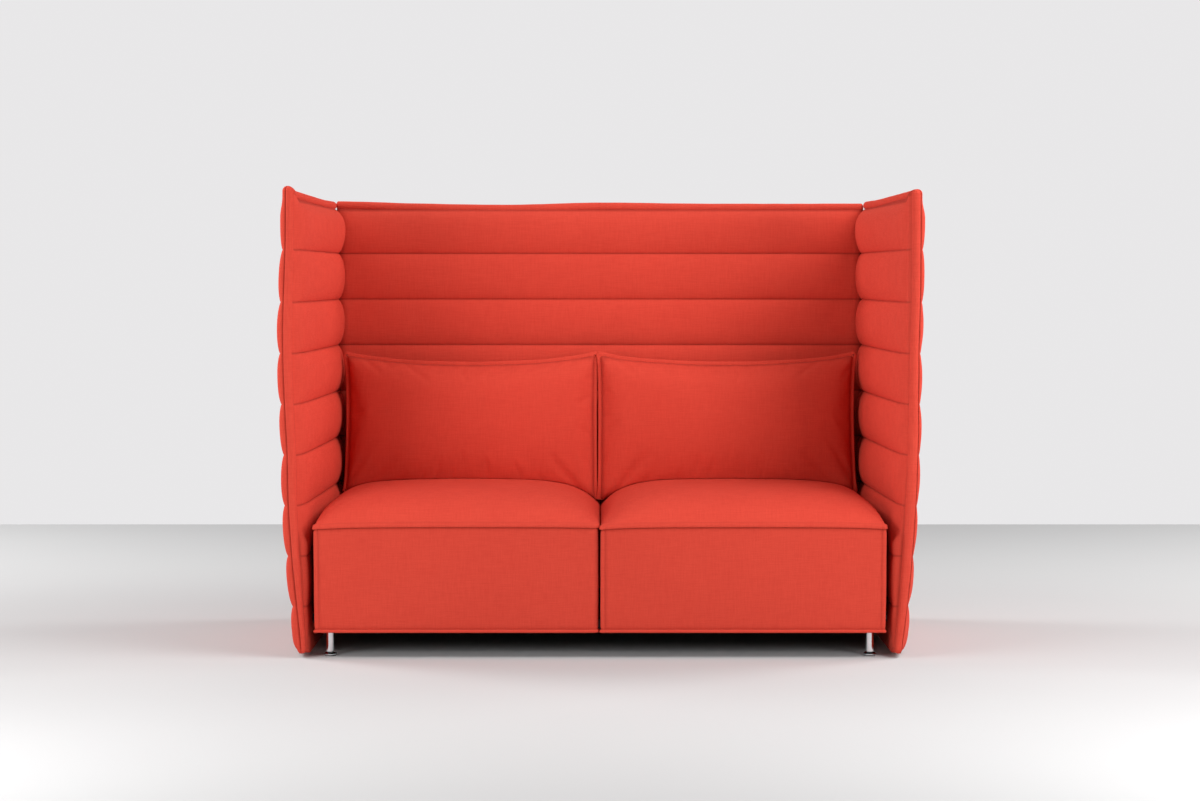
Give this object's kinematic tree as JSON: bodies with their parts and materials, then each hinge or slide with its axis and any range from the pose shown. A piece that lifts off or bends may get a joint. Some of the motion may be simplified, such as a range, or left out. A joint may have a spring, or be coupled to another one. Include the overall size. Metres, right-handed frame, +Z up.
{
  "type": "high back settee",
  "caption": "Upholstered settee with seat blocks, loose back cushions and a tall quilted back and sides that screen the sitter, on short chromed tube legs.",
  "frame": {"origin": "on the floor, at the centre of the settee's box seen from above", "axes": "+X to the right seen from the front, +Y to the back, +Z up"},
  "size_m": [1.6962, 0.8251, 1.232],
  "materials": {
    "upholstery": "fine melange wool weave, matt",
    "panel_board": "raw moulded plywood",
    "base_steel": "black powder coat",
    "leg_chrome": "polished",
    "black_plastic": "matt moulded",
    "zinc_steel": "zinc plated",
    "spring_steel": "oiled wire",
    "felt": "grey felt",
    "dust_cloth": "black non-woven cloth",
    "zip_tape": "woven tape",
    "zip_teeth": "moulded teeth",
    "zip_metal": "dark nickel"
  },
  "bodies": {
    "settee": {"front_rail": "base_steel", "rear_rail": "base_steel", "left_side_rail": "base_steel", "right_side_rail": "base_steel", "centre_rail": "base_steel", "leg_plates": "base_steel", "front_left_leg": "leg_chrome", "front_right_leg": "leg_chrome", "rear_left_leg": "leg_chrome", "rear_right_leg": "leg_chrome", "leg_inserts": "black_plastic", "leg_studs": "zinc_steel", "dust_cover": "dust_cloth", "left_springs": "spring_steel", "left_spring_clips": "zinc_steel", "left_spring_felt": "felt", "left_seat_cushion": "upholstery", "left_zip_tapes": "zip_tape", "left_zip_teeth": "zip_teeth", "right_springs": "spring_steel", "right_spring_clips": "zinc_steel", "right_spring_felt": "felt", "right_seat_cushion": "upholstery", "right_zip_tapes": "zip_tape", "right_zip_teeth": "zip_teeth", "left_panel_board": "panel_board", "left_panel_inner_quilting": "upholstery", "left_panel_outer_quilting": "upholstery", "left_panel_edge_roll": "upholstery", "left_panel_brackets": "base_steel", "left_panel_bolts": "zinc_steel", "right_panel_board": "panel_board", "right_panel_inner_quilting": "upholstery", "right_panel_outer_quilting": "upholstery", "right_panel_edge_roll": "upholstery", "right_panel_brackets": "base_steel", "right_panel_bolts": "zinc_steel", "back_panel_board": "panel_board", "back_panel_inner_quilting": "upholstery", "back_panel_outer_quilting": "upholstery", "back_panel_edge_roll": "upholstery", "back_panel_brackets": "base_steel", "back_panel_bolts": "zinc_steel"},
    "front_left_foot": {"front_left_glide": "leg_chrome", "front_left_glide_pad": "black_plastic"},
    "front_right_foot": {"front_right_glide": "leg_chrome", "front_right_glide_pad": "black_plastic"},
    "rear_left_foot": {"rear_left_glide": "leg_chrome", "rear_left_glide_pad": "black_plastic"},
    "rear_right_foot": {"rear_right_glide": "leg_chrome", "rear_right_glide_pad": "black_plastic"},
    "left_cushion": {"left_back_cushion": "upholstery"},
    "right_cushion": {"right_back_cushion": "upholstery"},
    "left_slider": {"left_zip_slider": "zip_metal"},
    "left_pull": {"left_zip_pull": "zip_metal"},
    "right_slider": {"right_zip_slider": "zip_metal"},
    "right_pull": {"right_zip_pull": "zip_metal"}
  },
  "joints": [
    {"name": "front_left_levelling", "type": "slide", "parent": "settee", "child": "front_left_foot", "axis": [0, 0, -1], "range_m": [0, 0.008]},
    {"name": "front_right_levelling", "type": "slide", "parent": "settee", "child": "front_right_foot", "axis": [0, 0, -1], "range_m": [0, 0.008]},
    {"name": "rear_left_levelling", "type": "slide", "parent": "settee", "child": "rear_left_foot", "axis": [0, 0, -1], "range_m": [0, 0.008]},
    {"name": "rear_right_levelling", "type": "slide", "parent": "settee", "child": "rear_right_foot", "axis": [0, 0, -1], "range_m": [0, 0.008]},
    {"name": "left_cushion_lift", "type": "slide", "parent": "settee", "child": "left_cushion", "axis": [0, 0, 1], "range_m": [0, 0.83]},
    {"name": "right_cushion_lift", "type": "slide", "parent": "settee", "child": "right_cushion", "axis": [0, 0, 1], "range_m": [0, 0.83]},
    {"name": "left_zip_run", "type": "slide", "parent": "settee", "child": "left_slider", "axis": [0, 0, 1], "range_m": [0, 1.1]},
    {"name": "left_pull_swing", "type": "hinge", "parent": "left_slider", "child": "left_pull", "pos_m": [-0.78598, 0.37748, 0.057], "axis": [0.7071, 0.7071, 0], "range_deg": [0, 150]},
    {"name": "right_zip_run", "type": "slide", "parent": "settee", "child": "right_slider", "axis": [0, 0, 1], "range_m": [0, 1.1]},
    {"name": "right_pull_swing", "type": "hinge", "parent": "right_slider", "child": "right_pull", "pos_m": [0.78598, 0.37748, 0.057], "axis": [0.7071, -0.7071, 0], "range_deg": [0, 150]}
  ]
}
